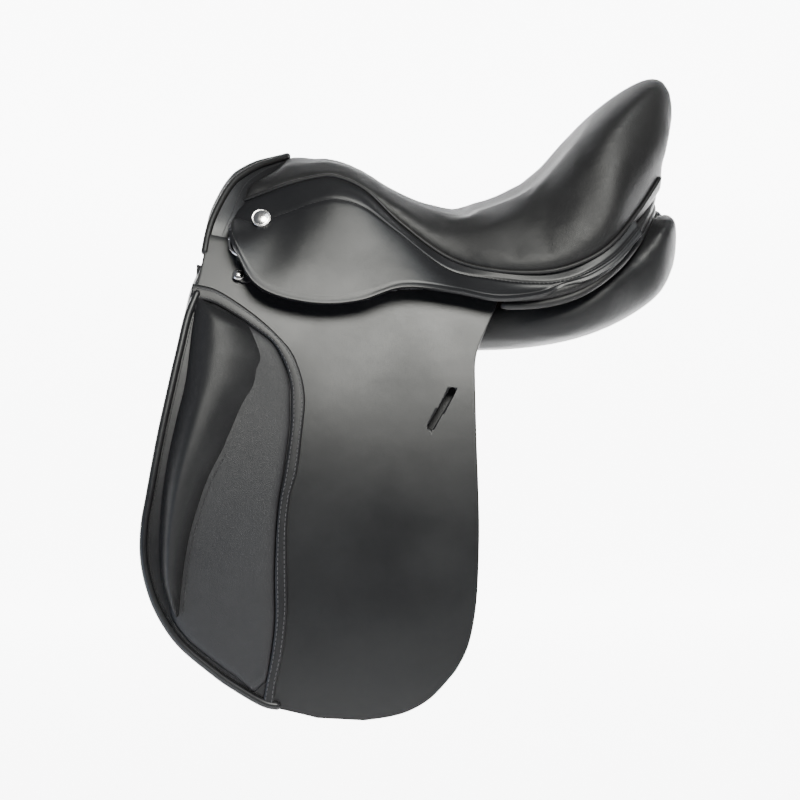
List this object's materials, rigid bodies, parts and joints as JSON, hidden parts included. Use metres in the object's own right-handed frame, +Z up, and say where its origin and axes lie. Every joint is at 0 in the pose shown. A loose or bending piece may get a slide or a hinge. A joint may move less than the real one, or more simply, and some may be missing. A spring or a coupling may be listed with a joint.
{
  "type": "english saddle",
  "caption": "Black leather dressage saddle with a deep seat, long straight flaps that lift, thigh blocks, skirts, stirrup bars and girth billets.",
  "frame": {"origin": "in the centre plane under the seat's deepest point, at the height where the panels bear on the horse's back", "axes": "+X towards the cantle, +Y to the horse's off (right) side, +Z up"},
  "size_m": [0.545, 0.5026, 0.6262],
  "materials": {
    "seat_leather": "soft matt grained leather",
    "flap_leather": "smooth satin leather",
    "pad_leather": "fine grained padded leather",
    "panel_leather": "soft black leather",
    "foam": "moulded foam",
    "tree_wood": "laminated beech",
    "steel": "zinc plated spring steel",
    "chrome": "polished",
    "web": "woven linen web"
  },
  "bodies": {
    "saddle": {"tree": "tree_wood", "gullet_plate": "steel", "head_plate": "steel", "tree_rivets": "steel", "bar_rivets": "steel", "catch_pins": "steel", "seat_web": "web", "cross_web": "web", "girth_web_front": "web", "girth_web_rear": "web", "seat_foam": "foam", "seat_cover": "seat_leather", "pommel_facing": "flap_leather", "pommel_piping": "seat_leather", "cantle_roll": "seat_leather", "panel_roll": "seat_leather", "cantle_facing": "flap_leather", "panel_bridge": "flap_leather", "spring_bar_left": "steel", "spring_bar_right": "steel", "stirrup_bar_left": "steel", "stirrup_bar_right": "steel", "welt_left": "seat_leather", "welt_right": "seat_leather", "skirt_band_left": "flap_leather", "skirt_band_right": "flap_leather", "saddle_nail_left": "chrome", "saddle_nail_right": "chrome", "panel_left": "panel_leather", "panel_right": "panel_leather", "sweat_flap_left": "flap_leather", "sweat_flap_right": "flap_leather", "point_pocket_left": "flap_leather", "point_pocket_right": "flap_leather", "flap_head_left": "flap_leather", "flap_head_right": "flap_leather", "d_ring_chape_left": "flap_leather", "d_ring_chape_right": "flap_leather", "d_ring_stud_left": "chrome", "d_ring_stud_right": "chrome"},
    "flap_left": {"flap_left": "flap_leather", "flap_binding_left": "flap_leather", "knee_pad_left": "pad_leather", "thigh_block_left": "pad_leather", "flap_piping_left": "seat_leather"},
    "flap_right": {"flap_right": "flap_leather", "flap_binding_right": "flap_leather", "knee_pad_right": "pad_leather", "thigh_block_right": "pad_leather", "flap_piping_right": "seat_leather"},
    "skirt_left": {"skirt_left": "flap_leather"},
    "skirt_right": {"skirt_right": "flap_leather"},
    "stirrup_catch_left": {"stirrup_catch_left": "steel"},
    "stirrup_catch_right": {"stirrup_catch_right": "steel"},
    "d_ring_left": {"d_ring_left": "chrome"},
    "d_ring_right": {"d_ring_right": "chrome"},
    "billet_front_left": {"billet_front_left": "flap_leather"},
    "billet_front_right": {"billet_front_right": "flap_leather"},
    "billet_rear_left": {"billet_rear_left": "flap_leather"},
    "billet_rear_right": {"billet_rear_right": "flap_leather"}
  },
  "joints": [
    {"name": "flap_lift_left", "type": "hinge", "parent": "saddle", "child": "flap_left", "pos_m": [-0.282, -0.13499, 0.04899], "axis": [-0.9841, 0.0747, 0.1612], "range_deg": [0, 60]},
    {"name": "flap_lift_right", "type": "hinge", "parent": "saddle", "child": "flap_right", "pos_m": [-0.282, 0.13499, 0.04899], "axis": [0.9841, 0.0747, -0.1612], "range_deg": [0, 60]},
    {"name": "skirt_lift_left", "type": "hinge", "parent": "saddle", "child": "skirt_left", "pos_m": [-0.25, -0.11835, 0.12968], "axis": [-0.9678, 0.1232, 0.2194], "range_deg": [0, 60]},
    {"name": "skirt_lift_right", "type": "hinge", "parent": "saddle", "child": "skirt_right", "pos_m": [-0.25, 0.11835, 0.12968], "axis": [0.9678, 0.1232, -0.2194], "range_deg": [0, 60]},
    {"name": "catch_turn_left", "type": "hinge", "parent": "saddle", "child": "stirrup_catch_left", "pos_m": [-0.092, -0.14126, 0.07004], "axis": [0, -0.8865, 0.4628], "range_deg": [0, 75]},
    {"name": "catch_turn_right", "type": "hinge", "parent": "saddle", "child": "stirrup_catch_right", "pos_m": [-0.092, 0.14126, 0.07004], "axis": [0, -0.8865, -0.4628], "range_deg": [0, 75]},
    {"name": "d_ring_swing_left", "type": "hinge", "parent": "saddle", "child": "d_ring_left", "pos_m": [-0.24, -0.10739, 0.116], "axis": [-1, 0, 0], "range_deg": [0, 12]},
    {"name": "d_ring_swing_right", "type": "hinge", "parent": "saddle", "child": "d_ring_right", "pos_m": [-0.24, 0.10739, 0.116], "axis": [1, 0, 0], "range_deg": [0, 12]},
    {"name": "billet_front_swing_left", "type": "hinge", "parent": "saddle", "child": "billet_front_left", "pos_m": [-0.128, -0.12251, 0.049], "axis": [0, 1, 0], "range_deg": [-6, 6]},
    {"name": "billet_front_swing_right", "type": "hinge", "parent": "saddle", "child": "billet_front_right", "pos_m": [-0.128, 0.12251, 0.049], "axis": [0, 1, 0], "range_deg": [-6, 6]},
    {"name": "billet_rear_swing_left", "type": "hinge", "parent": "saddle", "child": "billet_rear_left", "pos_m": [-0.078, -0.12755, 0.049], "axis": [0, 1, 0], "range_deg": [-6, 6]},
    {"name": "billet_rear_swing_right", "type": "hinge", "parent": "saddle", "child": "billet_rear_right", "pos_m": [-0.078, 0.12755, 0.049], "axis": [0, 1, 0], "range_deg": [-6, 6]}
  ]
}
